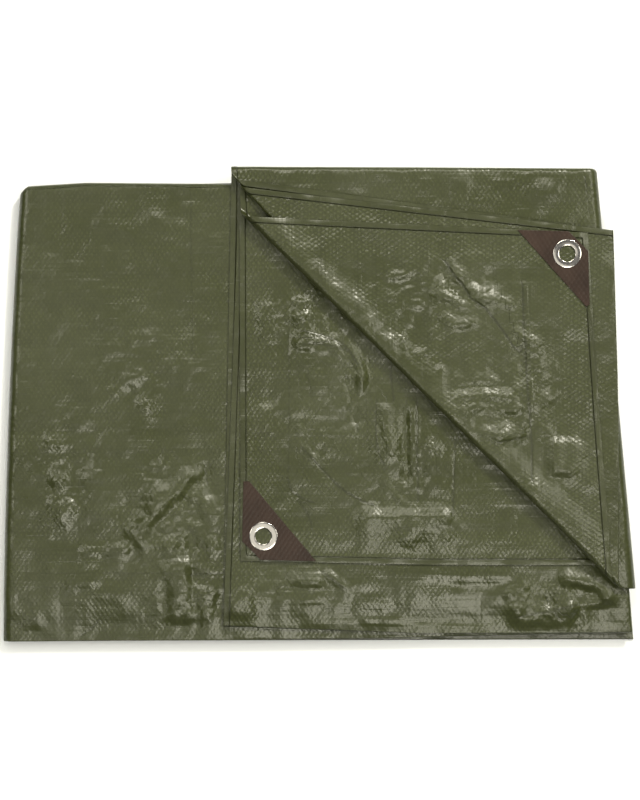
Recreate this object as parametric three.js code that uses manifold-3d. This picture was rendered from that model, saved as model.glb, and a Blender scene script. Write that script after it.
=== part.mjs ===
// A folded tarpaulin, built as one sheet that is folded twice over. The sheet is first folded across
// its width into a strip of six plies, and the strip is then laid back and forth in three runs.
// At the free end of the top run the three upper plies are turned back along a diagonal, which shows
// the corner of the ply below. Two corners carry a reinforcing patch and a metal eyelet.
// Millimetres, +Z up. The origin is under the middle of the stack, on the surface it lies on.
// Seen from above, the free end of the top run points to -X and the long hems to -Y.
import * as THREE from "three";
import { mergeVertices } from "three/addons/utils/BufferGeometryUtils.js";
import Module from "manifold-3d";

const wasm = await Module();
wasm.setup();

// Driving sizes
const SHEET = 1.0; // thickness of the sheet
const PLY_GAP = 0.4; // air between two plies
const PITCH = SHEET + PLY_GAP;
const PLIES = 6; // plies in the strip
const RUNS = 3; // runs of the strip, laid back and forth
const STACK_WIDTH = 550; // at the long hems' side
const STACK_DEPTH = 413;
const HALF_WIDTH = STACK_WIDTH / 2;
const HALF_DEPTH = STACK_DEPTH / 2;

// The two edges where the strip turns back. They lean outwards towards the long hems, and bow is how
// far an edge stands out half way down.
const TURN_EDGE = {
  left: { atTop: -259, atBottom: -HALF_WIDTH, bow: 3 },
  right: { atTop: 241, atBottom: 279.5, bow: 0 },
};
const CORNER_ROUNDING = 5; // how far the upper corner draws in over the left turn

// Each hem and fold line across the strip: its Y at seven stations along the strip, and the X at which
// it meets the free end of the top run. The stations are the free end, the middle of the top run, the
// right turn, the middle of the second run, a place shortly before the left turn, the left turn, and
// the inner end.
const STATIONS = [0, 0.5, 1, 1.5, 1.9, 2, 3];
const LINES = {
  hemOne: { freeX: -51, y: [-137, -146, -157, -158, -159, -160, -158] },
  topInnerOne: { freeX: -69.5, y: [201, 201, 200, 186.5, 188, 185, 193] },
  lowFold: { freeX: -50, y: [-137, -151, -160, -161, -161, -161, -159] },
  topOuter: { freeX: -76, y: [206.5, 206, 205, 191.5, 193, 190, 199] },
  bottomFold: { freeX: -83, y: [-193, -199.5, -198.5, -205, -206, -206.5, -205] },
  topInnerTwo: { freeX: -69, y: [201, 201, 200, 186.5, 188, 185, 193] },
  hemTwo: { freeX: -68, y: [-135.5, -139, -139, -155, -158, -160, -158] },
};
const INNER_END_REACH = 3; // how far the bottom run ends beyond the axis of the turn above it

// The plies in the order in which the sheet runs through them, from one long hem to the other.
// level counts the plies of the top run from its upper side, and heading is the way the sheet runs in Y.
const PLY_TABLE = [
  { from: "hemOne", to: "topInnerOne", level: 2, heading: 1 },
  { from: "topInnerOne", to: "lowFold", level: 1, heading: -1 },
  { from: "lowFold", to: "topOuter", level: 0, heading: 1 },
  { from: "topOuter", to: "bottomFold", level: 5, heading: -1 },
  { from: "bottomFold", to: "topInnerTwo", level: 4, heading: 1 },
  { from: "topInnerTwo", to: "hemTwo", level: 3, heading: -1 },
];
const UNDER_FLAP = 5; // the ply whose corner shows below the flap
const TOP_OF_LOWER_STACK = 3; // the ply on top of the middle run

// The flap: the line that its folded edge follows, seen from above, for the outermost turned ply
// and for the two plies inside it.
const FLAP_INNER_RADIUS = 1.2;
const FLAP_FOLDS = [
  { start: [-70, 168.5], end: [258, -157], radius: FLAP_INNER_RADIUS + 2 * PITCH },
  { start: [-75, 197], end: [262, -160], radius: FLAP_INNER_RADIUS + PITCH },
  { start: [-75, 197], end: [262, -160], radius: FLAP_INNER_RADIUS },
];
const FLAP_AXIS_RADIUS = [FLAP_FOLDS[0].radius, FLAP_FOLDS[1].radius, FLAP_FOLDS[1].radius];

// Past the last of the inner plies, the long plies of the upper runs sink onto those of the lowest.
const SINK = { fromY: -163, toY: -203, depth: 5.5, foot: 3, full: 13.5 };

// How finely the sheet is divided. The long plies have closer rows where they sink.
const ACROSS_SHORT_PLY = [0, 0.2, 0.4, 0.6, 0.8, 1];
const ACROSS_LONG_PLY = [0, 0.22, 0.45, 0.68, 0.905, 0.925, 0.945, 0.965, 0.985, 1];
const STEPS_TIGHT_FOLD = 3;
const STEPS_WIDE_FOLD = 5;
const STEPS_ALONG_RUN = [5, 7, 3];
const STEPS_TURN = 5;
const STEPS_FLAP_FOLD = 4;
const FINE_SPLIT = 4; // cells with creases are split this many times each way

// Eyelets and their patches
const EYELET = { holeRadius: 7, barrelRadius: 7.9, flangeRadius: 12.2, backRadius: 11.4, crown: 1.5 };
const EYELET_BACK = 0.7; // thickness of the eyelet's back flange
const CLEARANCE = 0.3; // between two solids
const PATCH_THICKNESS = 0.8;
const EYELET_SEGMENTS = 32;
const CORNER_LIFT = 2 * CLEARANCE + EYELET_BACK - PLY_GAP + 0.1; // room for the back flange
const CORNERS = [
  {
    name: "lower",
    eyelet: [-48.1, -114.1],
    patch: [[-65.5, -66.5], [-66.6, -118.5], [-50.5, -134.6], [-2.5, -135.8], [-60.5, -66.5]],
    plateau: 92,
  },
  {
    name: "flap",
    eyelet: [214.5, 130.5],
    patch: [[171.5, 150.9], [215.6, 149.8], [232.6, 132.7], [233.9, 86.5], [230.9, 84.6]],
    plateau: 92,
  },
];
const LIFT_RAMP = 30; // the raised corner falls away over this distance

// Main creases that stand up from the plies that show: both ends, half width and height.
const CREASES = {
  lowerStack: [
    { a: [-178, -128], b: [-90, -50], half: 24, height: 2.8 },
    { a: [-250, 15], b: [-222, -75], half: 24, height: 1.8 },
    { a: [-136, -112], b: [-128, -150], half: 22, height: 2.0 },
    { a: [-128, 180], b: [-122, 60], half: 22, height: 1.4 },
    { a: [-196, 75], b: [-170, 15], half: 24, height: 1.2 },
  ],
  underFlap: [
    { a: [-36, 32], b: [16, 46], half: 22, height: 2.2 },
    { a: [16, 46], b: [38, 8], half: 22, height: 1.8 },
    { a: [58, -8], b: [62, -90], half: 22, height: 2.2 },
    { a: [96, -34], b: [100, -90], half: 20, height: 1.6 },
  ],
  flap: [
    { a: [98, 120], b: [176, 42], half: 23, height: 2.6 },
    { a: [60, 112], b: [104, 96], half: 22, height: 1.6 },
    { a: [96, 26], b: [172, 18], half: 23, height: 2.0 },
    { a: [150, -28], b: [204, -34], half: 22, height: 1.6 },
  ],
};

const TURN_REACH = (PLIES - 0.5) * PITCH + SHEET / 2; // from a turn's axis to its outermost face
const BASE_OFFSET = -(PITCH - SHEET) / 2; // sets the lowest face at Z = 0

const mix = (a, b, t) => a + (b - a) * t;
const smooth = (t) => {
  const c = Math.min(1, Math.max(0, t));
  return c * c * (3 - 2 * c);
};

// Height of a ply's middle above the middle of its run, in the top run.
const offsetOfLevel = (level) => ((PLIES - 1) / 2 - level) * PITCH;
const runMiddle = (run) => (PLIES * (RUNS - run) - PLIES / 2) * PITCH + BASE_OFFSET;

// Y of a line part of the way along the strip, between its stations.
function lineY(line, along) {
  const { y } = LINES[line];
  const next = Math.max(1, STATIONS.findIndex((station) => station >= along - 1e-9));
  const share = (along - STATIONS[next - 1]) / (STATIONS[next] - STATIONS[next - 1]);
  return mix(y[next - 1], y[next], share);
}

// The sheet's section across the strip: rows of points, each with its place between two lines.
function sectionRows() {
  const rows = [];
  PLY_TABLE.forEach((ply, index) => {
    const shares = ply.level > 3 ? ACROSS_LONG_PLY : ACROSS_SHORT_PLY;
    const ordered = ply.heading < 0 ? shares : shares.map((share) => 1 - share).reverse();
    for (const across of ordered) rows.push({ ply: index, across });
    const next = PLY_TABLE[index + 1];
    if (!next) return;
    const steps = Math.abs(next.level - ply.level) > 1 ? STEPS_WIDE_FOLD : STEPS_TIGHT_FOLD;
    for (let i = 1; i < steps; i++) rows.push({ ply: index, turn: i / steps });
  });
  return rows;
}

// The columns along the strip: the runs and the turns between them.
function stripColumns() {
  const columns = [];
  STEPS_ALONG_RUN.forEach((steps, run) => {
    for (let i = 0; i <= steps; i++) columns.push({ run, along: i / steps });
    if (run === RUNS - 1) return;
    for (let i = 1; i < STEPS_TURN; i++) columns.push({ run, turn: i / STEPS_TURN });
  });
  return columns;
}

const foldRadius = (index) =>
  (Math.abs(PLY_TABLE[index + 1].level - PLY_TABLE[index].level) * PITCH) / 2;

// Y and height in the strip of a row, at a place along the strip, on one face of the sheet.
function sectionPoint(row, along, face) {
  const ply = PLY_TABLE[row.ply];
  const w = offsetOfLevel(ply.level);
  const reach = (index) => (PLY_TABLE[index + 1] ? foldRadius(index) + SHEET / 2 : 0);
  const endY = lineY(ply.to, along) - ply.heading * reach(row.ply);
  if (row.turn === undefined) {
    const before = row.ply > 0 ? reach(row.ply - 1) : 0;
    const startY = lineY(ply.from, along) + ply.heading * before;
    return { y: mix(startY, endY, row.across), w: w + (ply.heading * face * SHEET) / 2 };
  }
  const radius = foldRadius(row.ply);
  const rising = Math.sign(offsetOfLevel(PLY_TABLE[row.ply + 1].level) - w);
  const side = -ply.heading * rising; // which face is on the outside of the fold
  const faced = radius + (side * face * SHEET) / 2;
  const angle = row.turn * Math.PI;
  return {
    y: endY + ply.heading * faced * Math.sin(angle),
    w: w + rising * (radius - faced * Math.cos(angle)),
  };
}

// X of a turn's axis at a given Y. The turn's outermost face then follows the edge.
function turnAxis(side, y) {
  const { atTop, atBottom, bow } = TURN_EDGE[side];
  const down = (HALF_DEPTH - y) / STACK_DEPTH;
  const outward = side === "right" ? 1 : -1;
  const edge = mix(atTop, atBottom, down) + outward * bow * 4 * down * (1 - down);
  return edge - outward * TURN_REACH;
}

// X of the top run's free end for a row of the section.
function freeEndX(row) {
  const ply = PLY_TABLE[row.ply];
  if (row.turn !== undefined) return LINES[ply.to].freeX;
  return mix(LINES[ply.from].freeX, LINES[ply.to].freeX, row.across);
}

// A point of the flat-folded stack, before the flap is turned and the creases are raised.
function stackPoint(row, column, face) {
  const run = column.run;
  const progress = column.turn === undefined ? run + column.along : run + 1;
  const { y, w } = sectionPoint(row, progress, face);
  const up = run % 2 === 0 ? 1 : -1; // the middle run lies upside down
  const height = runMiddle(run) + up * w;
  const sunk = (z) => z - sinking(y, z);
  if (column.turn === undefined) {
    const ends = [
      [freeEndX(row), turnAxis("right", y)],
      [turnAxis("right", y), turnAxis("left", y)],
      [turnAxis("left", y), turnAxis("right", y) + INNER_END_REACH],
    ][run];
    return [mix(...ends, column.along), y, sunk(height)];
  }
  const side = run === 0 ? "right" : "left";
  const outward = run === 0 ? 1 : -1;
  const radius = (PLIES / 2) * PITCH + up * w;
  const axisHeight = (runMiddle(run) + runMiddle(run + 1)) / 2;
  const angle = column.turn * Math.PI;
  const rounding = run === 1 ? CORNER_ROUNDING * Math.sin(angle) ** 2 * smooth((y - 150) / 45) : 0;
  return [
    turnAxis(side, y) + outward * radius * Math.sin(angle),
    y - rounding,
    sunk(axisHeight + radius * Math.cos(angle)),
  ];
}

// How far a point of the long plies sinks.
function sinking(y, z) {
  const { fromY, toY, depth, foot, full } = SINK;
  return depth * smooth((fromY - y) / (fromY - toY)) * smooth((z - foot) / (full - foot));
}

// How far a point lies beyond the start of the flap's bend, towards the turned corner.
function beyondFlapAxis(index, x, y) {
  const { start, end } = FLAP_FOLDS[index];
  const length = Math.hypot(end[0] - start[0], end[1] - start[1]);
  const normal = [(end[1] - start[1]) / length, -(end[0] - start[0]) / length];
  const toEdge = (x - start[0]) * normal[0] + (y - start[1]) * normal[1];
  return { normal, distance: toEdge + FLAP_AXIS_RADIUS[index] };
}

// Turns a point of one of the three upper plies back over the flap's bend.
function turnFlap(index, point) {
  const [x, y, z] = point;
  const { normal, distance } = beyondFlapAxis(index, x, y);
  if (distance <= 0) return point;
  const topMiddle = runMiddle(0) + offsetOfLevel(0);
  const axisHeight = topMiddle + FLAP_INNER_RADIUS;
  const radius = axisHeight - z;
  const bendLength = Math.PI * FLAP_AXIS_RADIUS[index];
  const angle = Math.min(distance / bendLength, 1) * Math.PI;
  const past = Math.max(0, distance - bendLength);
  const shift = radius * Math.sin(angle) - past - distance;
  return [x + normal[0] * shift, y + normal[1] * shift, axisHeight - radius * Math.cos(angle)];
}

function distanceToSegment(x, y, a, b) {
  const d = [b[0] - a[0], b[1] - a[1]];
  const t = ((x - a[0]) * d[0] + (y - a[1]) * d[1]) / (d[0] ** 2 + d[1] ** 2);
  const c = Math.min(1, Math.max(0, t));
  return Math.hypot(x - a[0] - c * d[0], y - a[1] - c * d[1]);
}

// Height of the creases at a point: rounded ridges that stand on the ply, never below it.
function creaseHeight(creases, x, y) {
  let ridge = 0;
  for (const { a, b, half, height } of creases) {
    const share = 1 - distanceToSegment(x, y, a, b) / half;
    ridge = Math.max(ridge, height * smooth(share));
  }
  return ridge;
}

// How far a point is from the raised corners: 1 on a corner's flat, 0 clear of it.
function onCorner(corner, x, y) {
  const middle = corner.patch.reduce((sum, [px, py]) => [sum[0] + px / 5, sum[1] + py / 5], [0, 0]);
  const reach = Math.hypot(x - middle[0], y - middle[1]);
  return smooth((corner.plateau / 2 + LIFT_RAMP - reach) / LIFT_RAMP);
}

// How far creases and corner flats raise a point of the sheet, on the plies that show.
function liftAt(row, column, flatPoint, point) {
  const [x, y] = point;
  if (column.turn !== undefined || row.turn !== undefined) return 0;
  if (column.run === 1 && row.ply === TOP_OF_LOWER_STACK) {
    const clear = smooth((LINES.bottomFold.freeX - 4 - x) / 22) * smooth((x + 262) / 20);
    return clear * creaseHeight(CREASES.lowerStack, x, y);
  }
  if (column.run !== 0 || (row.ply !== UNDER_FLAP && row.ply !== 0)) return 0;
  const { distance } = beyondFlapAxis(0, flatPoint[0], flatPoint[1]);
  const onFlap = row.ply === 0;
  const past = onFlap ? distance - Math.PI * FLAP_AXIS_RADIUS[0] : distance - 10;
  if (past <= 0) return 0;
  const fade = smooth(past / 22);
  const corner = onCorner(CORNERS[onFlap ? 1 : 0], x, y);
  const creases = onFlap ? CREASES.flap : CREASES.underFlap;
  return fade * (CORNER_LIFT * corner + (1 - corner) * creaseHeight(creases, x, y));
}

const isTurned = (row) => row.ply < 2 || (row.ply === 2 && row.turn === undefined);

function place(row, column, face) {
  const flat = stackPoint(row, column, face);
  const turned = column.run === 0 && column.turn === undefined && isTurned(row);
  const [x, y, z] = turned ? turnFlap(row.ply, flat) : flat;
  return [x, y, z + liftAt(row, column, flat, [x, y])];
}

// Rows and columns between the tabled ones, for the finer cells.
const between = (a, b, t) => {
  if (t === 0) return a;
  if (t === 1) return b;
  return { ...a, across: mix(a.across, b.across, t), along: mix(a.along, b.along, t) };
};

// Whether a cell of the sheet carries a crease or a raised corner.
function isFine(rowA, rowB, columnA, columnB) {
  if (rowA.turn !== undefined || rowB.turn !== undefined || rowA.ply !== rowB.ply) return false;
  if (columnA.turn !== undefined || columnB.turn !== undefined) return false;
  if (columnA.run !== columnB.run) return false;
  const shares = [0, 0.2, 0.4, 0.6, 0.8, 1];
  return shares.some((p) =>
    shares.some((q) => {
      const [row, column] = [between(rowA, rowB, p), between(columnA, columnB, q)];
      const flat = stackPoint(row, column, 0);
      const point = column.run === 0 && isTurned(row) ? turnFlap(row.ply, flat) : flat;
      return Math.abs(liftAt(row, column, flat, point)) > 0.25;
    }),
  );
}

// The sheet as flat cells: each is a list of corner keys, and each key has its row and column.
function sheetCells() {
  const rows = sectionRows();
  const columns = stripColumns();
  const corners = new Map();
  const corner = (i, j) => {
    const key = `${i.toFixed(4)}/${j.toFixed(4)}`;
    if (!corners.has(key)) {
      const [ri, ci] = [Math.min(Math.floor(i), rows.length - 2), Math.min(Math.floor(j), columns.length - 2)];
      const row = i === ri ? rows[ri] : { ...between(rows[ri], rows[ri + 1], i - ri) };
      const column = j === ci ? columns[ci] : { ...between(columns[ci], columns[ci + 1], j - ci) };
      corners.set(key, { row, column });
    }
    return key;
  };
  const fine = (i, j) =>
    i >= 0 && j >= 0 && i < rows.length - 1 && j < columns.length - 1 &&
    isFine(rows[i], rows[i + 1], columns[j], columns[j + 1]);
  const cells = [];
  for (let i = 0; i < rows.length - 1; i++)
    for (let j = 0; j < columns.length - 1; j++) {
      if (fine(i, j)) {
        const step = 1 / FINE_SPLIT;
        for (let a = 0; a < FINE_SPLIT; a++)
          for (let b = 0; b < FINE_SPLIT; b++) {
            const [p, q] = [i + a * step, j + b * step];
            cells.push([corner(p, q), corner(p + step, q), corner(p + step, q + step), corner(p, q + step)]);
          }
        continue;
      }
      // A coarse cell takes its finer neighbours' points on the shared sides.
      const side = (fromI, fromJ, toI, toJ, neighbour) => {
        const steps = neighbour ? FINE_SPLIT : 1;
        return Array.from({ length: steps }, (_, k) =>
          corner(mix(fromI, toI, k / steps), mix(fromJ, toJ, k / steps)));
      };
      cells.push([
        ...side(i, j, i + 1, j, fine(i, j - 1)),
        ...side(i + 1, j, i + 1, j + 1, fine(i + 1, j)),
        ...side(i + 1, j + 1, i, j + 1, fine(i, j + 1)),
        ...side(i, j + 1, i, j, fine(i - 1, j)),
      ]);
    }
  return { cells, corners };
}

// Cuts the cells of the turned plies along lines parallel to the flap's fold, so that it bends there.
function cutAlongFlap(cells, corners) {
  const measure = (key) => {
    const { row, column } = corners.get(key);
    if (column.run !== 0 || column.turn !== undefined || !isTurned(row)) return -1;
    const [x, y] = stackPoint(row, column, 0);
    return beyondFlapAxis(row.ply, x, y).distance / (Math.PI * FLAP_AXIS_RADIUS[row.ply]);
  };
  const meet = (keyA, keyB, at) => {
    const [first, last] = [keyA, keyB].sort();
    const t = (at - measure(first)) / (measure(last) - measure(first));
    if (t < 1e-6) return first;
    if (t > 1 - 1e-6) return last;
    const key = `${first}>${last}>${at}`;
    if (!corners.has(key)) {
      const [a, b] = [corners.get(first), corners.get(last)];
      corners.set(key, { row: blend(a.row, b.row, t), column: blend(a.column, b.column, t) });
    }
    return key;
  };
  let done = cells;
  for (let step = 0; step <= STEPS_FLAP_FOLD; step++) {
    const at = step / STEPS_FLAP_FOLD;
    done = done.flatMap((cell) => {
      const sides = [[], []];
      cell.forEach((key, k) => {
        const next = cell[(k + 1) % cell.length];
        const [here, there] = [measure(key) - at, measure(next) - at];
        if (here <= 1e-7) sides[0].push(key);
        if (here >= -1e-7) sides[1].push(key);
        if ((here < -1e-7 && there > 1e-7) || (here > 1e-7 && there < -1e-7)) {
          const cut = meet(key, next, at);
          sides[0].push(cut);
          sides[1].push(cut);
        }
      });
      return sides.map((side) => side.filter((key, k) => key !== side[(k + 1) % side.length]))
        .filter((side) => new Set(side).size > 2);
    });
  }
  return done;
}

// A row or column part of the way between two others, inside one ply or one tight fold.
function blend(a, b, t) {
  const parts = { ...a };
  for (const name of ["across", "along", "turn"])
    if (a[name] !== undefined && b[name] !== undefined) parts[name] = mix(a[name], b[name], t);
  if (a.turn === undefined && b.turn !== undefined)
    return { ply: b.ply, turn: mix(a.ply === b.ply ? 0 : 1, b.turn, t) };
  if (a.turn !== undefined && b.turn === undefined)
    return { ply: a.ply, turn: mix(a.turn, b.ply === a.ply ? 1 : 0, t) };
  return parts;
}

// Turns a four-sided cell so that it is halved along its flatter diagonal.
function splitSmoothly(cell, corners) {
  if (cell.length !== 4) return cell;
  const [a, b, c, d] = cell.map((key) => place(corners.get(key).row, corners.get(key).column, 0)[2]);
  return Math.abs(b - d) + 0.05 < Math.abs(a - c) ? [...cell.slice(1), cell[0]] : cell;
}

// Both faces of the sheet and its cut edges, as one closed solid.
function sheetGeometry() {
  const { cells: plain, corners } = sheetCells();
  const cells = cutAlongFlap(plain, corners);
  const index = new Map();
  const positions = [];
  const vertex = (key, face) => {
    const name = `${key}|${face}`;
    if (!index.has(name)) {
      index.set(name, positions.length / 3);
      const { row, column } = corners.get(key);
      positions.push(...place(row, column, face));
    }
    return index.get(name);
  };
  const middle = (keys, face) => {
    const sum = [0, 0, 0];
    for (const key of keys) {
      const at = vertex(key, face) * 3;
      for (let k = 0; k < 3; k++) sum[k] += positions[at + k] / keys.length;
    }
    positions.push(...sum);
    return positions.length / 3 - 1;
  };
  const triangles = [];
  const edges = new Map();
  for (const given of cells) {
    const cell = splitSmoothly(given, corners);
    cell.forEach((key, k) => {
      const next = cell[(k + 1) % cell.length];
      edges.delete(`${next}~${key}`) || edges.set(`${key}~${next}`, [key, next]);
    });
    for (const face of [1, -1]) {
      const loop = face < 0 ? cell : [cell[0], ...cell.slice(1).reverse()];
      const at = loop.map((key) => vertex(key, face));
      if (at.length === 3) triangles.push(at);
      else if (at.length === 4) triangles.push([at[0], at[1], at[2]], [at[0], at[2], at[3]]);
      else {
        const centre = middle(loop, face);
        at.forEach((a, k) => triangles.push([a, at[(k + 1) % at.length], centre]));
      }
    }
  }
  for (const [key, next] of edges.values()) {
    const [a, b, c, d] = [vertex(key, 1), vertex(key, -1), vertex(next, -1), vertex(next, 1)];
    triangles.push([a, c, b], [a, d, c]);
  }
  const geometry = new THREE.BufferGeometry();
  geometry.setAttribute("position", new THREE.Float32BufferAttribute(positions, 3));
  geometry.setIndex(triangles.flat());
  return geometry;
}

function toSolid(geometry) {
  const bare = geometry.clone();
  bare.deleteAttribute("normal");
  bare.deleteAttribute("uv");
  const merged = mergeVertices(bare, 1e-4);
  const mesh = new wasm.Mesh({
    numProp: 3,
    vertProperties: merged.attributes.position.array,
    triVerts: new Uint32Array(merged.index.array),
  });
  return new wasm.Manifold(mesh);
}

function toGeometry(solid) {
  const mesh = solid.getMesh();
  const geometry = new THREE.BufferGeometry();
  geometry.setAttribute("position", new THREE.BufferAttribute(mesh.vertProperties, 3));
  geometry.setIndex(new THREE.BufferAttribute(mesh.triVerts, 1));
  return geometry;
}

// Middle height of the ply that carries a corner's eyelet, on its raised flat.
const cornerPlyHeight = (corner) => {
  const top = runMiddle(0) + offsetOfLevel(0);
  const resting = corner.name === "flap" ? top + 2 * FLAP_INNER_RADIUS + 2 * PITCH
    : runMiddle(0) + offsetOfLevel(PLY_TABLE[UNDER_FLAP].level);
  return resting + CORNER_LIFT;
};

function upright(geometry, x, y, z) {
  return geometry.rotateX(Math.PI / 2).translate(x, y, z);
}

// The eyelet: a barrel through the sheet and its patch, a rounded flange on top and a flat one behind.
function eyeletGeometry(corner) {
  const { holeRadius, barrelRadius, flangeRadius, backRadius, crown } = EYELET;
  const sheetTop = SHEET / 2;
  const flangeFoot = sheetTop + CLEARANCE + PATCH_THICKNESS + CLEARANCE;
  const backTop = -SHEET / 2 - CLEARANCE;
  const outline = [
    [holeRadius + 0.25, backTop - EYELET_BACK],
    [backRadius, backTop - EYELET_BACK],
    [backRadius, backTop],
    [barrelRadius, backTop],
    [barrelRadius, flangeFoot],
    [flangeRadius - 0.2, flangeFoot],
  ];
  const arcSteps = 6;
  for (let i = 0; i <= arcSteps; i++) {
    const angle = (i / arcSteps) * Math.PI;
    const [middleRadius, halfWidth] = [(flangeRadius + holeRadius) / 2, (flangeRadius - holeRadius) / 2];
    outline.push([middleRadius + halfWidth * Math.cos(angle), flangeFoot + 0.3 + crown * Math.sin(angle)]);
  }
  const profile = [...outline, outline[0]].map(([r, z]) => new THREE.Vector2(r, z));
  const [x, y] = corner.eyelet;
  return upright(new THREE.LatheGeometry(profile, EYELET_SEGMENTS), x, y, cornerPlyHeight(corner));
}

// A hole for the eyelet's barrel, through whatever lies at the given height.
function pierce(solid, corner, height, depth) {
  const radius = EYELET.barrelRadius + CLEARANCE;
  const punch = new THREE.CylinderGeometry(radius, radius, depth, EYELET_SEGMENTS);
  return solid.subtract(toSolid(upright(punch, ...corner.eyelet, height)));
}

// The reinforcing patch: a triangle with blunt tips and a hole for the eyelet's barrel.
function patchGeometry(corner) {
  const shape = new THREE.Shape(corner.patch.map(([x, y]) => new THREE.Vector2(x, y)));
  const blank = new THREE.ExtrudeGeometry(shape, { depth: PATCH_THICKNESS, bevelEnabled: false });
  const foot = cornerPlyHeight(corner) + SHEET / 2 + CLEARANCE;
  const solid = toSolid(blank.translate(0, 0, foot));
  return toGeometry(pierce(solid, corner, foot, 4 * PATCH_THICKNESS));
}

// The sheet with its two eyelet holes, each cut through one ply only.
function piercedSheet() {
  let solid = toSolid(sheetGeometry());
  for (const corner of CORNERS)
    solid = pierce(solid, corner, cornerPlyHeight(corner), SHEET + 2 * CLEARANCE);
  return toGeometry(solid);
}

const materials = {
  sheet: new THREE.MeshStandardMaterial({ color: 0x54583c, roughness: 0.45, metalness: 0 }),
  patch: new THREE.MeshStandardMaterial({ color: 0x4c3a35, roughness: 0.55, metalness: 0 }),
  eyelet: new THREE.MeshStandardMaterial({ color: 0xd6d2c8, roughness: 0.25, metalness: 1 }),
};

function addMesh(group, name, geometry, material) {
  const mesh = new THREE.Mesh(geometry, material);
  mesh.name = name;
  group.add(mesh);
}

const tarp = new THREE.Group();
addMesh(tarp, "tarp_sheet", piercedSheet(), materials.sheet);
for (const corner of CORNERS) {
  addMesh(tarp, `${corner.name}_patch`, patchGeometry(corner), materials.patch);
  addMesh(tarp, `${corner.name}_eyelet`, eyeletGeometry(corner), materials.eyelet);
}

export default tarp;
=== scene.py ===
"""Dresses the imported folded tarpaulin: a thin laminated sheet on the solid's folds, two moulded corner
patches and two rolled eyelets, on a pale floor seen from straight above."""

import math
from functools import partial

import bmesh
import bpy
import numpy as np
from bpy.props import FloatProperty, FloatVectorProperty, PointerProperty
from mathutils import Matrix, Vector, geometry, noise


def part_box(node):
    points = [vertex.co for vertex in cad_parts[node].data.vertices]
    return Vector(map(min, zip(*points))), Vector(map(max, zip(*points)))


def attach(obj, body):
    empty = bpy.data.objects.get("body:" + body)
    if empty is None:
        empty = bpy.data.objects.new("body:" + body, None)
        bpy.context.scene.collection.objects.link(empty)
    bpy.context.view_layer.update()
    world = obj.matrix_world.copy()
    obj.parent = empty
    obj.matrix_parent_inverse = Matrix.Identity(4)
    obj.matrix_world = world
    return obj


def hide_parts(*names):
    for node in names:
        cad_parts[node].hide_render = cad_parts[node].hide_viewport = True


bl_info = {
    "name": "Folded tarpaulin",
    "version": (1, 0, 0),
    "blender": (4, 5, 0),
    "location": "3D View > Sidebar > Tarpaulin",
    "description": "Builds a folded tarpaulin around its packed solids",
    "category": "Object",
}

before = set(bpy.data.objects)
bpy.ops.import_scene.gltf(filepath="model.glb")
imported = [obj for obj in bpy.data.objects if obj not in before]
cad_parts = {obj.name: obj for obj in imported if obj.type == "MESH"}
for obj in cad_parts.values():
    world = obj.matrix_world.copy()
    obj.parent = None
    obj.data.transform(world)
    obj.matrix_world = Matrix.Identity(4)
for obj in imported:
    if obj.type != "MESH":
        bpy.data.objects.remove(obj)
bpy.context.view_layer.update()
MM = 0.001

# The folds of the solid, in millimetres. Each line across the strip has the X of its free end and its
# Y at seven stations along the strip: the free end, the middle of the top run, the right turn, the
# middle of the second run, a place before the left turn, the left turn and the inner end.
PITCH = 1.4  # from one ply to the next
RUNS = 3
STACK_DEPTH = 413.0
LOWEST_MIDDLE = 0.5  # middle of the lowest ply above the floor
STATIONS = (0.0, 0.5, 1.0, 1.5, 1.9, 2.0, 3.0)
LINES = {
    "hem_one": (-51, (-137, -146, -157, -158, -159, -160, -158)),
    "top_inner_one": (-69.5, (201, 201, 200, 186.5, 188, 185, 193)),
    "low_fold": (-50, (-137, -151, -160, -161, -161, -161, -159)),
    "top_outer": (-76, (206.5, 206, 205, 191.5, 193, 190, 199)),
    "bottom_fold": (-83, (-193, -199.5, -198.5, -205, -206, -206.5, -205)),
    "top_inner_two": (-69, (201, 201, 200, 186.5, 188, 185, 193)),
    "hem_two": (-68, (-135.5, -139, -139, -155, -158, -160, -158)),
}
# The plies in the order in which the sheet runs through them: first line, last line, place from the
# top of the strip, and the way the sheet runs in Y.
PLIES = (
    ("hem_one", "top_inner_one", 2, 1),
    ("top_inner_one", "low_fold", 1, -1),
    ("low_fold", "top_outer", 0, 1),
    ("top_outer", "bottom_fold", 5, -1),
    ("bottom_fold", "top_inner_two", 4, 1),
    ("top_inner_two", "hem_two", 3, -1),
)
TURNED_PLY, PAIR_PLY, TOP_PLY, LOWER_PLY, BAND_PLY, CORNER_PLY = range(6)
EDGES = {"left": (-259.0, -275.0, 3.0), "right": (241.0, 279.5, 0.0)}  # X at top and bottom, and bow
SOLID_SHEET = 1.0
TURN_REACH = (len(PLIES) - 0.5) * PITCH + SOLID_SHEET / 2
CORNER_ROUNDING = 5.0
INNER_END_REACH = 3.0
SINK = {"from": -163.0, "to": -203.0, "depth": 5.5, "foot": 3.0, "full": 13.5}
FLAP_INNER_RADIUS = 1.2
FLAP_RADII = (FLAP_INNER_RADIUS + 2 * PITCH, FLAP_INNER_RADIUS + PITCH, FLAP_INNER_RADIUS + PITCH)
FLAP_LINES = (((-70, 168.5), (258, -157)), ((-75, 197), (262, -160)), ((-75, 197), (262, -160)))

# The dressed sheet
HEM_ROLL = 5.0  # width of the corded edge
HEM_BAND = 30.0  # width of the doubled hem
CORD_SWELL, HEM_SWELL = 0.32, 0.1  # how much thicker the corded edge and the hem are to each side
HEM_STEP = 1.5  # width over which the hem's thickness ends
FINE_CELL = 2.95  # side of a cell where the sheet shows


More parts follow.
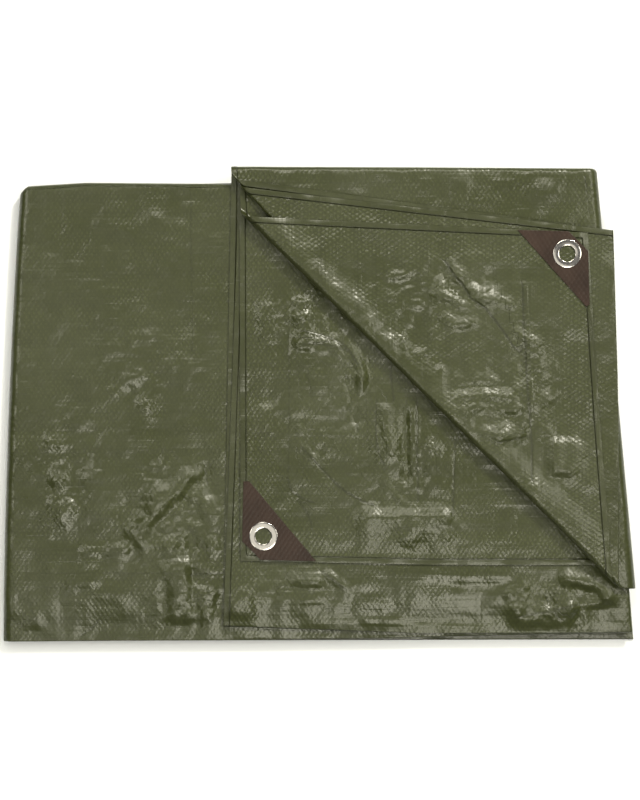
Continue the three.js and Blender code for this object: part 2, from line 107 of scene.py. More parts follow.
class TarpSettings(bpy.types.PropertyGroup):
    """Sizes and colours of the dressed tarpaulin."""

    sheet_thickness: FloatProperty(
        name="Sheet thickness", description="Thickness of one ply", default=0.55 * MM, unit="LENGTH")
    tape_pitch: FloatProperty(
        name="Tape pitch", description="Width of one woven tape", default=2.1 * MM, unit="LENGTH")
    sheet_colour: FloatVectorProperty(
        name="Sheet colour", description="Colour of the laminated sheet, in sRGB", subtype="COLOR",
        default=(0x35 / 255, 0x39 / 255, 0x1F / 255))
    patch_colour: FloatVectorProperty(
        name="Patch colour", description="Colour of the moulded patches, in sRGB", subtype="COLOR",
        default=(0x28 / 255, 0x1C / 255, 0x16 / 255))
    eyelet_colour: FloatVectorProperty(
        name="Eyelet colour", description="Colour of the rolled eyelets, in sRGB", subtype="COLOR",
        default=(0xDA / 255, 0xD6 / 255, 0xD2 / 255))
    camera_height: FloatProperty(
        name="Camera height", description="Height of the camera above the floor", default=3.2,
        unit="LENGTH")


def settings():
    return bpy.context.scene.tarp


def linear(colour):
    """An sRGB colour, as three numbers from 0 to 1 or a hex string, as linear light with alpha."""
    if isinstance(colour, str):
        colour = [int(colour[k:k + 2], 16) / 255 for k in (1, 3, 5)]
    parts = [c / 12.92 if c <= 0.04045 else ((c + 0.055) / 1.055) ** 2.4 for c in colour]
    return (*parts, 1.0)


def set_inputs(node, inputs):
    """Sets a node's inputs, by name or place, to plain values or the outputs of other nodes."""
    for name, value in inputs.items():
        if isinstance(value, bpy.types.NodeSocket):
            node.id_data.links.new(value, node.inputs[name])
        else:
            node.inputs[name].default_value = value


def add_node(tree, kind, *inputs, out=0, **props):
    """Adds one node and gives one of its outputs. Its inputs are given in order, or by name in one
    dict, and props are its settings."""
    made = tree.nodes.new(kind)
    for name, value in props.items():
        setattr(made, name, value)
    named = inputs and isinstance(inputs[0], dict)
    set_inputs(made, inputs[0] if named else dict(enumerate(inputs)))
    return made.outputs[out] if len(made.outputs) else None


def smooth(value):
    share = np.clip(value, 0.0, 1.0)
    return share * share * (3 - 2 * share)


def mix(a, b, share):
    return a + (b - a) * share


# The sheet's folds. A place across the strip counts plies and the turns between them, and a place along
# it counts runs and the turns between them: from an even number on is a ply or run, from an odd one a turn.

def line_y(name, along):
    return np.interp(along, STATIONS, LINES[name][1])


def level_height(level):
    return ((len(PLIES) - 1) / 2 - level) * PITCH


def run_middle(run):
    return (len(PLIES) * (RUNS - run) - len(PLIES) / 2 - 0.5) * PITCH + LOWEST_MIDDLE


def turn_radius(ply):
    return abs(PLIES[ply + 1][2] - PLIES[ply][2]) * PITCH / 2


def turn_reach(ply):
    return turn_radius(ply) + SOLID_SHEET / 2 if 0 <= ply < len(PLIES) - 1 else 0.0


def section(across, along, offset):
    """Y, height in the strip and length along the section, of points a given offset off its middle."""
    y, height, run_length = np.zeros_like(across), np.zeros_like(across), np.zeros_like(across)
    part = np.clip(np.floor(across).astype(int), 0, 2 * len(PLIES) - 2)
    start_length = 0.0
    for ply, (first, last, level, heading) in enumerate(PLIES):
        w = level_height(level)
        for turn in (False, True):
            at = part == 2 * ply + turn
            where, share = along[at], (across - part)[at]
            end = line_y(last, where) - heading * turn_reach(ply)
            if not turn:
                begin = line_y(first, where) + heading * turn_reach(ply - 1)
                y[at] = mix(begin, end, share)
                height[at] = w + heading * offset[at]
                run_length[at] = start_length + heading * y[at]
            elif ply + 1 < len(PLIES):
                radius = turn_radius(ply)
                rising = math.copysign(1, level_height(PLIES[ply + 1][2]) - w)
                faced = radius - heading * rising * offset[at]
                y[at] = end + heading * faced * np.sin(share * math.pi)
                height[at] = w + rising * (radius - faced * np.cos(share * math.pi))
                run_length[at] = start_length + heading * end + share * math.pi * radius
        if ply + 1 < len(PLIES):
            middle_end = LINES[last][1][1] - heading * turn_reach(ply)
            start_length += 2 * heading * middle_end + math.pi * turn_radius(ply)
    return y, height, run_length


def turn_axis(side, y):
    top, bottom, bow = EDGES[side]
    down = (STACK_DEPTH / 2 - y) / STACK_DEPTH
    outward = 1 if side == "right" else -1
    return mix(top, bottom, down) + outward * (bow * 4 * down * (1 - down) - TURN_REACH)


def free_end_x(across):
    """X of the top run's free end at a place across the strip."""
    places = [p for ply in range(len(PLIES)) for p in (2 * ply, 2 * ply + 1)]
    ends = [LINES[name][0] for first, last, _, _ in PLIES for name in (first, last)]
    return np.interp(across, places, ends)


def sinking(y, z):
    share = smooth((SINK["from"] - y) / (SINK["from"] - SINK["to"]))
    return SINK["depth"] * share * smooth((z - SINK["foot"]) / (SINK["full"] - SINK["foot"]))


def stack(across, lengthwise, offset):
    """The folded stack before its corner is turned: points, and the flat sheet's own coordinates."""
    part = np.clip(np.floor(lengthwise).astype(int), 0, 2 * RUNS - 2)
    run, share = part // 2, lengthwise - part
    turning = part % 2 == 1
    along = np.where(turning, run + 1.0, run + share)
    y, w, length_y = section(across, along, offset)
    up = np.where(run % 2 == 0, 1.0, -1.0)
    middle = run_middle(run)
    right, left = turn_axis("right", y), turn_axis("left", y)
    begin = np.choose(run, [free_end_x(across), right, left])
    end = np.choose(run, [right, left, right + INNER_END_REACH])
    outward = np.where(run == 0, 1.0, -1.0)
    radius = len(PLIES) / 2 * PITCH + up * w
    angle = share * math.pi
    x = np.where(turning, end + outward * radius * np.sin(angle), mix(begin, end, share))
    axis_height = (middle + run_middle(run + 1)) / 2
    z = np.where(turning, axis_height + radius * np.cos(angle), middle + up * w)
    rounding = CORNER_ROUNDING * np.sin(angle) ** 2 * smooth((y - 150) / 45)
    y = y - np.where(turning & (run == 1), rounding, 0.0)
    turn_length = math.pi * len(PLIES) / 2 * PITCH
    offsets = (0.0, 2 * EDGES["right"][0] + turn_length,
               2 * (EDGES["right"][0] - EDGES["left"][0]) + 2 * turn_length)
    length_x = np.choose(run, offsets) + up * np.where(turning, end, x)
    length_x = length_x + np.where(turning, share * turn_length, 0.0)
    return np.stack([x, y, z - sinking(y, z)], 1), length_x, length_y


def flap_frame(ply):
    """A point of the flap's fold line for a ply, and the unit vector from it towards the turned corner."""
    (x0, y0), (x1, y1) = FLAP_LINES[ply]
    length = math.hypot(x1 - x0, y1 - y0)
    return np.array((x0, y0)), np.array(((y1 - y0) / length, -(x1 - x0) / length))


def beyond_fold(ply, points):
    """How far points lie past the start of the flap's bend."""
    start, normal = flap_frame(ply)
    return (points[:, :2] - start) @ normal + FLAP_RADII[ply]


def turn_back(ply, points):
    """Turns the corner of one of the upper plies back over the flap's bend."""
    _, normal = flap_frame(ply)
    distance = beyond_fold(ply, points)
    axis_height = run_middle(0) + level_height(0) + FLAP_INNER_RADIUS
    radius = axis_height - points[:, 2]
    bend = math.pi * FLAP_RADII[ply]
    angle = np.clip(distance / bend, 0, 1) * math.pi
    shift = radius * np.sin(angle) - np.maximum(0, distance - bend) - distance
    turned = points.copy()
    turned[:, :2] += shift[:, None] * normal
    turned[:, 2] = axis_height - radius * np.cos(angle)
    return np.where((distance > 0)[:, None], turned, points)


def turned_ply(across, lengthwise):
    """The upper ply that each point belongs to where it can be turned back, or -1."""
    on_top_run = lengthwise <= 1.0
    ply = np.where(across <= 1.5, TURNED_PLY, np.where(across <= 3.5, PAIR_PLY, TOP_PLY))
    return np.where(on_top_run & (across <= 5.0), ply, -1)


# Main creases, placed on the part of each ply that shows. Each has its path, its half width,
# its height, and how sharp its crest is, from 0 for a soft roll to 1 for a hard fold.
CREASES = {
    "lower": (
        (((-162, -127), (-151, -106), (-136, -89), (-122, -76), (-108, -63), (-97, -56)), 11, 2.2, 0.8),
        (((-212, -129), (-182, -128), (-160, -124)), 6, 0.9, 0.8),
        (((-168, -90), (-166, -109), (-164, -122)), 7, 0.6, 0.8),
        (((-137, -111), (-128, -102), (-119, -94)), 5, 1, 0.8),
        (((-117, -83), (-104, -80), (-97, -92), (-99, -102)), 9, 1.7, 0.9),
        (((-99, -51), (-98, -67)), 5, -1, 0.8),
        (((-117, -100), (-112, -118), (-112, -148), (-110, -170), (-106, -192),
          (-103, -205)), 6, -1.3, 0.7),
        (((-126, -130), (-125, -161), (-122, -195)), 18, 1.3, 0.9),
        (((-93, -109), (-92, -153), (-91, -201)), 12, 1.3, 0.9), (((-84, -57), (-86, -83)), 8, 1, 0.8),
        (((-236, -36), (-229, -33), (-220, -36)), 8, 1.3, 0.9),
        (((-236, -69), (-227, -67), (-222, -60)), 7, 1.2, 0.9),
        (((-213, -81), (-220, -92), (-229, -104)), 7, 1.3, 0.9),
        (((-220, -163), (-208, -156), (-187, -153)), 7, 0.8, 0.7),
        (((-210, -141), (-191, -138)), 5, 0.6, 0.7), (((-147, -57), (-131, -50)), 6, 0.7, 0.6),
        (((-154, -7), (-145, 4), (-138, 21)), 9, 0.8, 0.6),
        (((-182, 4), (-164, 21), (-147, 28)), 10, 0.8, 0.6), (((-260, -193), (-239, -191)), 9, 1, 0.8),
    ),
    "flap": (
        (((56, 108), (68, 110), (81, 112)), 5, 0.9, 0.7),
        (((73, 100), (84, 99), (92, 100)), 4.5, 0.9, 0.7),
        (((77, 85), (86, 87), (94, 87)), 4.5, 0.8, 0.7),
        (((102, 74), (116, 70), (128, 69), (142, 72)), 6, 1.2, 0.8),
        (((128, 100), (137, 100)), 4, 0.8, 0.7),
        (((134, 93), (149, 91), (162, 87), (173, 84)), 7, 1.4, 0.8),
        (((162, 72), (175, 74), (184, 70), (193, 74)), 5, 0.8, 0.7),
        (((164, 65), (173, 60), (184, 53), (193, 50)), 6, 1.2, 0.8),
        (((182, 44), (194, 43)), 4, 0.8, 0.7), (((182, 32), (193, 30)), 4, 0.7, 0.7),
        (((81, 43), (90, 44), (98, 46)), 5, 1, 0.8), (((102, 30), (112, 27)), 5, 0.8, 0.7),
        (((114, 22), (123, 19), (140, 20), (159, 20)), 7, 1.2, 0.8),
        (((114, 7), (131, 7), (157, 6), (178, 5)), 7, 1.4, 0.8),
        (((128, -3), (149, -6), (166, -5), (182, -4)), 7, 1.3, 0.8),
        (((135, -22), (157, -27), (182, -26)), 13, 2, 1),
        (((186, -19), (197, -23), (203, -29)), 5, 1, 0.8), (((204, -27), (206, -64)), 18, 2, 1),
        (((102, 120), (109, 108), (119, 95), (128, 86)), 5, -1.2, 0.7),
        (((112, 124), (124, 107), (137, 93)), 5, 0.9, 0.7),
        (((102, 100), (112, 91), (123, 82)), 5, 0.8, 0.7),
        (((244, 65), (250, 4), (255, -48)), 8, 0.7, 0.6), (((210, -57), (244, -74)), 14, 1, 0.8),
    ),
    "corner": (
        (((-25, 89), (-13, 87), (-4, 88)), 5, 1.1, 0.7), (((-25, 78), (-17, 76), (-9, 80)), 6, 1.2, 0.7),
        (((-17, 85), (-6, 83), (3, 80)), 4, -0.9, 0.8), (((3, 67), (15, 70)), 5, 1, 0.7),
        (((-18, 60), (-8, 57), (6, 54), (20, 47)), 5, 1, 0.7),
        (((-26, 48), (-8, 49), (10, 46), (25, 40)), 6, 1.2, 0.8),
        (((18, 56), (29, 46), (36, 28), (37, 4)), 6, 1.4, 0.7),
        (((23, 26), (29, 4), (34, -22)), 6, -1.3, 0.8), (((43, 43), (41, 17), (36, 0)), 5, -1.1, 0.7),
        (((56, 4), (57, -22), (62, -48)), 7, 1.3, 0.6), (((72, 4), (74, -31), (75, -76)), 5, -1.2, 0.6),
        (((79, 2), (80, -40), (80, -79)), 6, 1.1, 0.6), (((97, -31), (97, -83)), 8, 0.7, 0.5),
        (((-21, -18), (-14, -26)), 5, 0.9, 0.7), (((-25, -35), (-13, -41), (-1, -50)), 5, 0.9, 0.7),
        (((60, -72), (67, -80), (73, -87)), 4, 0.9, 0.8), (((69, -69), (77, -78)), 4, 0.8, 0.8),
        (((44, -94), (70, -90), (97, -93), (116, -91)), 6, -0.5, 0.9),
        (((123, -99), (70, -97), (26, -99)), 20, 2.3, 0.9), (((-25, -116), (10, -119)), 17, 1.2, 0.9),
        (((-50, 91), (-48, 65), (-50, 52)), 12, 0.8, 0.5),
        (((-50, 4), (-46, -22), (-44, -57)), 14, 0.8, 0.5),
    ),
    "band": (
        (((-41, -156), (-18, -153), (6, -155)), 8, 1.5, 0.9),
        (((3, -146), (13, -153), (23, -163)), 5, 1.2, 0.8), (((-79, -181), (-55, -179)), 18, 1.4, 0.9),
        (((31, -187), (53, -190), (75, -188)), 5, 0.9, 0.8),
        (((-17, -194), (70, -195), (140, -197)), 5, 0.8, 0.8),
        (((228, -177), (194, -181), (162, -176)), 22, 2.3, 1),
        (((162, -170), (166, -161), (184, -158)), 6, 1, 0.8),
        (((208, -151), (231, -155), (244, -160), (250, -175)), 9, 1.9, 0.9),
        (((210, -181), (236, -174), (260, -170)), 6, 1.3, 0.8),
        (((197, -168), (203, -181), (210, -187)), 5, -1.2, 0.8),
        (((88, -148), (131, -151), (175, -148)), 8, 0.8, 0.7),
    ),
    "top": (
        (((90, 199), (91, 178)), 9, 0.5, 0.4), (((119, 199), (116, 174)), 10, 0.4, 0.4),
        (((192, 197), (191, 167)), 12, 0.5, 0.4),
    ),
}
# Thin creases pressed into the film: each has its path and its depth, from -1 for a sharp valley to 1
# for a sharp crest.
SCORES = {
    "lower": (
        (((-112, 188), (-111, 126), (-110, 47)), -0.3), (((-116, 187), (-115, 121), (-114, 56)), 0.3),
        (((-112, -148), (-84, -147)), -0.5), (((-251, -126), (-173, -126)), -0.25),
        (((-251, -100), (-147, -100)), -0.2), (((-260, -49), (-86, -49)), 0.2),
        (((-251, -147), (-121, -147)), -0.2), (((-210, -203), (-199, -196), (-191, -187)), -0.4),
        (((-99, -54), (-97, -69)), -0.4), (((-255, -135), (-253, -170), (-246, -187)), -0.25),
    ),
    "flap": (
        (((109, 124), (116, 113), (126, 101), (131, 92), (144, 83), (152, 73), (161, 61), (168, 50),
          (175, 44)), -0.8),
        (((176, 104), (177, 65), (181, 4), (184, -31), (184, -66)), -0.64),
        (((179, 102), (181, 65), (184, 4), (186, -31)), 0.64),
        (((185, -27), (203, -26), (203, -62)), 0.64), (((155, -33), (184, -27)), -0.48),
        (((224, 124), (236, 65), (244, -13)), -0.32),
    ),
    "corner": (
        (((-15, -37), (-3, -50), (10, -64), (23, -76), (40, -85), (47, -87)), -0.65),
        (((50, 4), (49, -22), (51, -41), (57, -54)), -0.45), (((85, 4), (85, -40), (86, -83)), -0.52),
        (((118, -31), (117, -66), (116, -94)), -0.52), (((-14, 52), (1, 53), (23, 47)), -0.52),
        (((-27, -66), (-23, -76), (-12, -83), (-6, -85)), -0.59),
        (((-14, 64), (3, 60), (18, 54), (27, 46), (32, 37)), -0.59),
        (((-27, 65), (-26, 4), (-27, -66)), -0.26), (((62, 32), (63, 17), (65, 4)), -0.52),
        (((-17, -85), (-10, -94), (-6, -106)), -0.52), (((23, 26), (27, 13), (31, -5), (34, -24)), -0.39),
        (((-10, 28), (-7, 8)), -0.33),
    ),
    "band": (
        (((-17, -190), (70, -191), (140, -193)), 0.36), (((1, -144), (11, -151), (23, -161)), -0.48),
        (((171, -185), (192, -181), (223, -174)), -0.48),
        (((197, -168), (203, -181), (210, -187)), -0.48),
    ),
    "top": ((((230, 202), (233, 182), (236, 159)), -1),),
}
# Crumpled places: centre, half sizes, grain and height.
CRUMPLED = {
    "lower": (((-125, -105), (75, 75), 26, 0.5), ((-220, -55), (45, 75), 28, 0.4),
              ((-150, 40), (70, 60), 30, 0.2), ((-115, -175), (50, 30), 20, 0.6)),
    "flap": (((110, 95), (75, 50), 22, 0.35), ((165, 15), (65, 65), 24, 0.35),
             ((60, 60), (60, 60), 26, 0.25)),
    "corner": (((-12, 70), (50, 50), 20, 0.45), ((70, -55), (60, 60), 24, 0.3),
               ((0, -10), (70, 60), 28, 0.25), ((90, -108), (50, 22), 18, 0.4)),
    "band": (((-15, -158), (75, 30), 18, 0.4), ((205, -172), (65, 32), 18, 0.7)),
    "top": (((110, 190), (170, 20), 30, 0.05),),
}
FOLD_STRENGTH, FOLD_WIDTH = 1.9, 1.1  # height and width of all main creases against their own
FOLD_LEAN = 0.38  # share by which a crease is narrower on the right of its path, and wider on the left
FOLD_TAPER = 0.16  # share of a crease's length over which each end dies out
WANDER, WANDER_GRAIN = 2.2, 20.0  # how far creases stray, and over what distance
CRUMPLE_WARP, CRUMPLE_RIDGE = 0.35, 0.55  # unevenness of the crumpled net and width of its ridges
NOISE_SEED = 1795632180  # fixes the noise's offsets, which would otherwise come from the clock
FLAP_ROLL = {"height": 3.7, "rise": 14.0, "end": 26.0, "fall": 23.0}  # swelling beside the flap's fold
# Where a panel's creases start, in millimetres from the middle or past the fold, and over what
# length they come up.
PANEL_STARTS = {
    "lower left": (-264, 12), "lower right": (86, 16), "corner": (6, 18), "flap": (0, 16),
    "band": (141, 5), "top": (168, 12),
}
FOLD_EASE = 12.0  # length over which creases come up beside a ply's own folds
SCORE_END = 5.0  # length over which a score dies out past its ends
FAR = 1000.0


def path_distance(points, path):
    """Distance to the nearest place of a path, how far along the path that is, from 0 to 1, and the
    side of the path: 1 on the right of its heading and -1 on the left."""
    best, along, side = np.full(len(points), np.inf), np.zeros(len(points)), np.zeros(len(points))
    passed = 0.0
    for (x0, y0), (x1, y1) in zip(path, path[1:]):
        dx, dy = x1 - x0, y1 - y0
        length = math.hypot(dx, dy)
        share = np.clip(((points[:, 0] - x0) * dx + (points[:, 1] - y0) * dy) / length ** 2, 0, 1)
        gap = np.hypot(points[:, 0] - x0 - share * dx, points[:, 1] - y0 - share * dy)
        along = np.where(gap < best, passed + share * length, along)
        turn = np.sign((points[:, 0] - x0) * dy - (points[:, 1] - y0) * dx)
        side = np.where(gap < best, turn, side)
        best = np.minimum(best, gap)
        passed += length
    return best, along / passed, side


def wandered(points):
    """Points shifted a little, smoothly and unevenly, so that straight creases come out uneven."""
    shifts = [tuple(WANDER * noise.noise_vector((x / WANDER_GRAIN, y / WANDER_GRAIN, 0)))[:2]
              for x, y in points[:, :2]]
    return points[:, :2] + np.array(shifts).reshape(-1, 2)


def crumple(x, y, grain):
    """Height, from 0 to 1, of a net of hard ridges between flat facets."""
    spot = Vector((x / grain, y / grain, grain))
    spot += CRUMPLE_WARP * noise.noise_vector(spot * 0.8)
    near, far = noise.voronoi(spot)[0][:2]
    return 1 - min(1.0, (far - near) / CRUMPLE_RIDGE)


def relief(panel, points):
    """How far the creases of a panel raise its points."""
    height = np.zeros(len(points))
    shifted = wandered(points)
    for path, half, rise, sharpness in CREASES[panel]:
        distance, along, side = path_distance(shifted, path)
        share = np.clip(1 - distance / (FOLD_WIDTH * half * (1 - FOLD_LEAN * side)), 0, 1)
        taper = smooth(np.minimum(along, 1 - along) / FOLD_TAPER)
        height += FOLD_STRENGTH * rise * taper * mix(smooth(share), share, sharpness)
    for (x0, y0), (half_x, half_y), grain, rise in CRUMPLED[panel]:
        reach = np.hypot((points[:, 0] - x0) / half_x, (points[:, 1] - y0) / half_y)
        for k in np.flatnonzero(reach < 1):
            height[k] += rise * smooth(2 * (1 - reach[k])) * crumple(points[k, 0], points[k, 1], grain)
    return height


# The two patched corners: the eyelet's centre and the patch's outline. The sheet lies flat under them.
CORNERS = {
    "lower": {"eyelet": (-48.1, -114.1),
              "outline": ((-65.5, -66.5), (-66.6, -118.5), (-50.5, -134.6), (-2.5, -135.8), (-60.5, -66.5))},
    "flap": {"eyelet": (214.5, 130.5),
             "outline": ((171.5, 150.9), (215.6, 149.8), (232.6, 132.7), (233.9, 86.5), (230.9, 84.6))},
}
CORNER_LIFT = 1.0  # how far the flat stands up, to make room for the eyelet's back flange
FLAT_REACH, FLAT_RAMP = 46.0, 30.0  # radius of the flat, and the length over which it ends
FLAT_SMOOTHNESS = 0.6  # share by which the film is less crackled there


def on_flat(corner, points):
    middle = np.mean(CORNERS[corner]["outline"], axis=0)
    reach = np.hypot(*(points[:, :2] - middle).T)
    return smooth((FLAT_REACH + FLAT_RAMP - reach) / FLAT_RAMP)


def crumpled(panel, points):
    """How strongly the film of a panel is crackled, from 0 to 1."""
    share = np.zeros(len(points))
    for (x0, y0), (half_x, half_y), _, rise in CRUMPLED[panel]:
        reach = np.hypot((points[:, 0] - x0) / half_x, (points[:, 1] - y0) / half_y)
        share = np.maximum(share, rise * smooth(1.6 * (1 - reach)))
    return share


def scored(panel, points):
    """Distance to the nearest thin crease, below 0 on one side of it, and its depth, 0 past its ends."""
    near, signed, depth = (np.full(len(points), v) for v in (FAR, FAR, 0.0))
    for path, deep in SCORES[panel]:
        last = len(path) - 2
        for k, ((x0, y0), (x1, y1)) in enumerate(zip(path, path[1:])):
            length = math.hypot(x1 - x0, y1 - y0)
            dx, dy = (x1 - x0) / length, (y1 - y0) / length
            along = (points[:, 0] - x0) * dx + (points[:, 1] - y0) * dy
            side = (points[:, 0] - x0) * dy - (points[:, 1] - y0) * dx
            before, after = np.maximum(-along, 0), np.maximum(along - length, 0)
            gap = np.hypot(side, before + after)
            past_end = before * (k == 0) + after * (k == last)
            closer = gap < near
            near[closer] = gap[closer]
            signed[closer] = np.copysign(gap, side)[closer]
            depth[closer] = deep * (1 - smooth(past_end[closer] / SCORE_END))
    return signed, depth


def come_up(value, start):
    """How fully creases stand at a place, from 0 to 1."""
    begin, length = PANEL_STARTS[start]
    return smooth((value - begin) / length)


def raise_panels(points, flat, across, lengthwise):
    """Raises the creases and the corner flats on the plies that show. Returns the height of each point
    and the values that the sheet's material reads there."""
    lift, crackle, depth, score = (np.full(len(points), v) for v in (0.0, 0.0, 0.0, FAR))
    x, y = points[:, 0], points[:, 1]
    ply = np.where(np.floor(across) % 2 == 0, np.floor(across) // 2, -1)
    on_run = np.where(np.floor(lengthwise) % 2 == 0, np.floor(lengthwise) // 2, -1)
    on_top, bend = on_run == 0, math.pi * FLAP_RADII[TURNED_PLY]
    beyond = beyond_fold(TURNED_PLY, flat)
    past = beyond - bend
    # Each panel: its points, how fully its creases stand there, and its patched corner.
    panels = {
        "lower": ((ply == LOWER_PLY) & (on_run == 1),
                  come_up(-x, "lower right") * come_up(x, "lower left"), None),
        "corner": ((ply == CORNER_PLY) & on_top & (beyond > -20), come_up(beyond, "corner"), "lower"),
        "flap": ((ply == TURNED_PLY) & on_top & (past > 0), come_up(past, "flap"), "flap"),
        "band": ((ply == BAND_PLY) & on_top, come_up(-y, "band"), None),
        "top": ((ply == TOP_PLY) & on_top & (beyond_fold(TOP_PLY, flat) < 0), come_up(y, "top"), None),
    }
    for panel, (at, fade, corner) in panels.items():
        flatness = on_flat(corner, points[at]) if corner else 0.0
        lift[at] = fade[at] * (CORNER_LIFT * flatness + (1 - flatness) * relief(panel, points[at]))
        crackle[at] = crumpled(panel, points[at]) * (1 - FLAT_SMOOTHNESS * flatness)
        score[at], depth[at] = scored(panel, points[at])
    at = (ply == TURNED_PLY) & on_top & (past > -bend)
    swelling = smooth((past[at] + bend) / FLAP_ROLL["rise"])
    lift[at] += FLAP_ROLL["height"] * swelling * smooth((FLAP_ROLL["end"] - past[at]) / FLAP_ROLL["fall"])
    edge = np.minimum(across % 1, 1 - across % 1)
    by_fold = smooth(edge * LONG_PLY_LENGTH / FOLD_EASE)
    return lift * by_fold, {"crackle": crackle, "score": score * MM, "score_depth": depth}


# How the sheet is divided. Each entry is a share of the ply or run, and a cell that shows is split finer.
SHORT_PLY = (0, 0.2, 0.4, 0.6, 0.8, 1)
LONG_PLY = (0, 0.2, 0.4, 0.6, 0.8, 0.905, 0.925, 0.945, 0.965, 0.985, 1)
TIGHT_TURN, WIDE_TURN, RUN_TURN, FLAP_STEPS = 4, 7, 10, 9
RUN_SHARES = ((0, 0.2, 0.4, 0.6, 0.8, 1), (0, 0.2, 0.4, 0.61, 0.74, 0.87, 1), (0, 0.33, 0.67, 1))
RUN_LENGTHS = (330, 510, 510)
PLY_LENGTH, LONG_PLY_LENGTH = 345, 400


def row_breaks():
    """Places across the strip where cells end, and how finely each row between them may be split."""
    breaks, splits = [0.0], []
    for ply, (_, _, level, heading) in enumerate(PLIES):
        long = level > 3
        shares = LONG_PLY if long else SHORT_PLY
        ordered = shares if heading < 0 else [1 - s for s in reversed(shares)]
        length = LONG_PLY_LENGTH if long else PLY_LENGTH
        for low, high in zip(ordered, ordered[1:]):
            breaks.append(2 * ply + high)
            splits.append(max(1, round((high - low) * length / FINE_CELL)))
        if ply + 1 < len(PLIES):
            steps = WIDE_TURN if turn_radius(ply) > PITCH else TIGHT_TURN
            breaks += [2 * ply + 1 + (k + 1) / steps for k in range(steps)]
            splits += [1] * steps
    return np.array(breaks), np.array(splits)


def column_breaks():
    breaks, splits = [0.0], []
    for run, shares in enumerate(RUN_SHARES):
        for low, high in zip(shares, shares[1:]):
            breaks.append(2 * run + high)
            splits.append(max(1, round((high - low) * RUN_LENGTHS[run] / FINE_CELL)))
        if run + 1 < RUNS:
            breaks += [2 * run + 1 + (k + 1) / RUN_TURN for k in range(RUN_TURN)]
            splits += [1] * RUN_TURN
    return np.array(breaks), np.array(splits)


def shows(row, column):
    """Whether the cell around a place shows from above, so that it is split finely."""
    across, lengthwise = np.array([row]), np.array([column])
    flat = stack(across, lengthwise, np.zeros(1))[0]
    ply, run = int(row) // 2 if int(row) % 2 == 0 else -1, int(column)
    x, y = flat[0, :2]
    if run == 2:
        return x < -50 and (ply == LOWER_PLY or 5 < row < 7)
    if run == 3:
        return column < 3.6 and ply == LOWER_PLY
    if run != 0:
        return False
    reach = beyond_fold(TURNED_PLY, flat)[0]
    if ply in (TURNED_PLY, CORNER_PLY):
        return reach > -50
    if ply == PAIR_PLY:
        return reach > -50 and (x < 0 or y < -60)
    if ply == BAND_PLY:
        return y < -70
    if ply == TOP_PLY:
        return y > 130
    return 5 < row < 6


def cloth_cells():
    """The sheet's cells as polygons, over places across and along the strip."""
    row_at, row_split = row_breaks()
    column_at, column_split = column_breaks()
    rows, columns = len(row_split), len(column_split)
    fine = np.zeros((rows + 2, columns + 2), bool)
    for i in range(rows):
        for j in range(columns):
            centre = (row_at[i] + row_at[i + 1]) / 2, (column_at[j] + column_at[j + 1]) / 2
            fine[i + 1, j + 1] = shows(*centre)
    row_start = np.concatenate([[0], np.cumsum(row_split)])
    column_start = np.concatenate([[0], np.cumsum(column_split)])
    row_fine = np.interp(np.arange(row_start[-1] + 1), row_start, row_at)
    column_fine = np.interp(np.arange(column_start[-1] + 1), column_start, column_at)
    used, places, cells = {}, [], []

    def corner(i, j):
        if (i, j) not in used:
            used[i, j] = len(places)
            places.append((row_fine[i], column_fine[j]))
        return used[i, j]

    for i in range(rows):
        for j in range(columns):
            i0, i1, j0, j1 = row_start[i], row_start[i + 1], column_start[j], column_start[j + 1]
            if fine[i + 1, j + 1]:
                for p in range(i0, i1):
                    for q in range(j0, j1):
                        cells.append((corner(p, q), corner(p + 1, q), corner(p + 1, q + 1), corner(p, q + 1)))
                continue
            loop = [(p, j0) for p in (range(i0, i1) if fine[i + 1, j] else (i0,))]
            loop += [(i1, q) for q in (range(j0, j1) if fine[i + 2, j + 1] else (j0,))]
            loop += [(p, j1) for p in (range(i1, i0, -1) if fine[i + 1, j + 2] else (i1,))]
            loop += [(i0, q) for q in (range(j1, j0, -1) if fine[i, j + 1] else (j1,))]
            around = [corner(p, q) for p, q in loop]
            if len(around) == 4:
                cells.append(tuple(around))
                continue
            places.append(((row_at[i] + row_at[i + 1]) / 2, (column_at[j] + column_at[j + 1]) / 2))
            middle = len(places) - 1
            cells += [(a, b, middle) for a, b in zip(around, around[1:] + around[:1])]
    return np.array(places), cells


